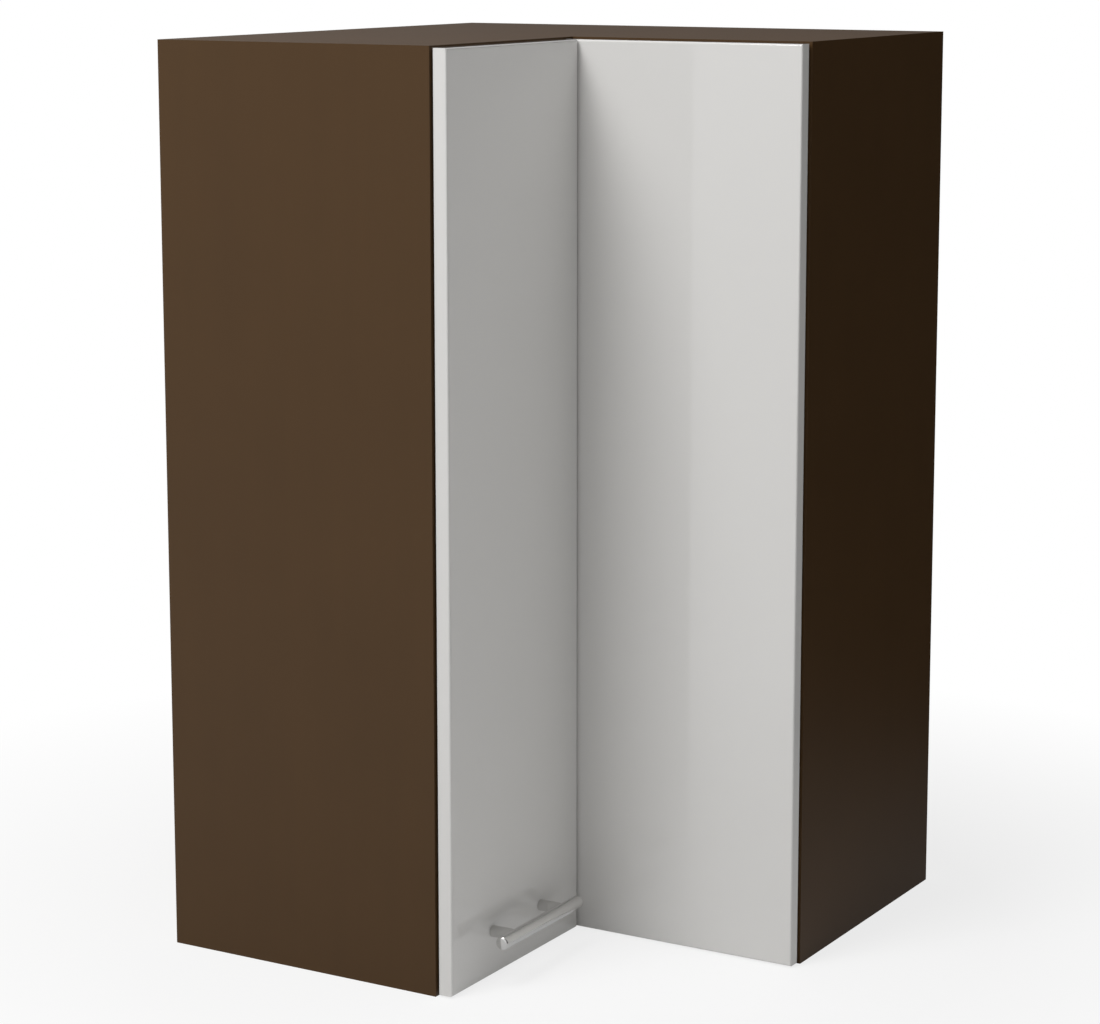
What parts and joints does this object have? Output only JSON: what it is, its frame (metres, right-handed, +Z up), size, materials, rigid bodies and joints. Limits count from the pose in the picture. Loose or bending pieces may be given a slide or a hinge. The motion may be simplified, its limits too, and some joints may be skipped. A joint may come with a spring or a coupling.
{
  "type": "corner wall cabinet",
  "caption": "L-shaped corner wall cabinet with shelves, a folding glossy door hinged at the inner corner, and a low bar handle.",
  "frame": {"origin": "middle of the 600 by 600 mm square that the cabinet's plan fills, on the level of its underside; the room's corner is at -X +Y", "axes": "+Z up; +X along the back wall, away from the room's corner; +Y towards the back wall. The right leaf faces -Y and the left leaf faces +X"},
  "size_m": [0.6, 0.6, 0.952],
  "materials": {
    "carcass_laminate": "satin dark brown laminate on chipboard",
    "carcass_edging": "satin dark brown edging",
    "hardboard": "thin brown-faced hardboard",
    "door_gloss": "high gloss white film over fibreboard",
    "hinge_steel": "nickel-plated pressed steel",
    "pin_steel": "bright turned steel",
    "screw_steel": "zinc-plated steel",
    "cast_zinc": "dull die-cast zinc",
    "beech": "fluted beech",
    "shelf_pin_steel": "nickel-plated steel",
    "hanger_plastic": "moulded pale grey plastic",
    "strap_steel": "galvanised steel",
    "handle_metal": "satin chrome-plated steel",
    "bumper_rubber": "clear soft plastic"
  },
  "bodies": {
    "carcass": {"left_end_panel": "carcass_laminate", "right_end_panel": "carcass_laminate", "top_panel": "carcass_laminate", "bottom_panel": "carcass_laminate", "rear_corner_post": "carcass_laminate", "lower_shelf": "carcass_laminate", "upper_shelf": "carcass_laminate", "end_panel_edge_bands": "carcass_edging", "top_panel_edge_bands": "carcass_edging", "bottom_panel_edge_bands": "carcass_edging", "lower_shelf_edge_bands": "carcass_edging", "upper_shelf_edge_bands": "carcass_edging", "left_back_panel": "hardboard", "right_back_panel": "hardboard", "hinge_mounting_plates": "hinge_steel", "hinge_arms": "hinge_steel", "hinge_arm_pins": "pin_steel", "hinge_plate_screws": "screw_steel", "hinge_arm_screws": "screw_steel", "hanger_fixing_screws": "screw_steel", "hanger_adjusting_screws": "screw_steel", "cam_housings": "cast_zinc", "cam_bolts": "cast_zinc", "wooden_dowels": "beech", "shelf_pins": "shelf_pin_steel", "hanger_housings": "hanger_plastic", "hanger_caps": "hanger_plastic", "hanger_straps": "strap_steel"},
    "swing_links": {"hinge_links": "hinge_steel", "hinge_link_pins": "pin_steel"},
    "hung_leaf": {"right_leaf": "door_gloss", "hinge_cups": "hinge_steel", "hinge_cup_screws": "screw_steel", "fold_hinge_brackets": "hinge_steel", "fold_hinge_bracket_screws": "screw_steel", "fold_hinge_pins": "pin_steel"},
    "free_leaf": {"left_leaf": "door_gloss", "fold_hinge_cups": "hinge_steel", "fold_hinge_cup_screws": "screw_steel", "handle_bar": "handle_metal", "handle_posts": "handle_metal", "handle_screws": "screw_steel", "door_bumpers": "bumper_rubber"}
  },
  "joints": [
    {"name": "door_swing", "type": "hinge", "parent": "carcass", "child": "hung_leaf", "pos_m": [0.2915, -0.036, 0.476], "axis": [0, 0, 1], "range_deg": [0, 110]},
    {"name": "link_swing", "type": "hinge", "parent": "carcass", "child": "swing_links", "pos_m": [0.2804, -0.025, 0.476], "axis": [0, 0, 1], "range_deg": [0, 83.3]},
    {"name": "leaf_fold", "type": "hinge", "parent": "hung_leaf", "child": "free_leaf", "pos_m": [0.019, -0.036, 0.476], "axis": [0, 0, 1], "range_deg": [-60, 0]}
  ],
  "couplings": [
    {"joint": "link_swing", "follows": "door_swing", "ratio": 0.757},
    {"joint": "leaf_fold", "follows": "door_swing", "ratio": -0.5454}
  ]
}
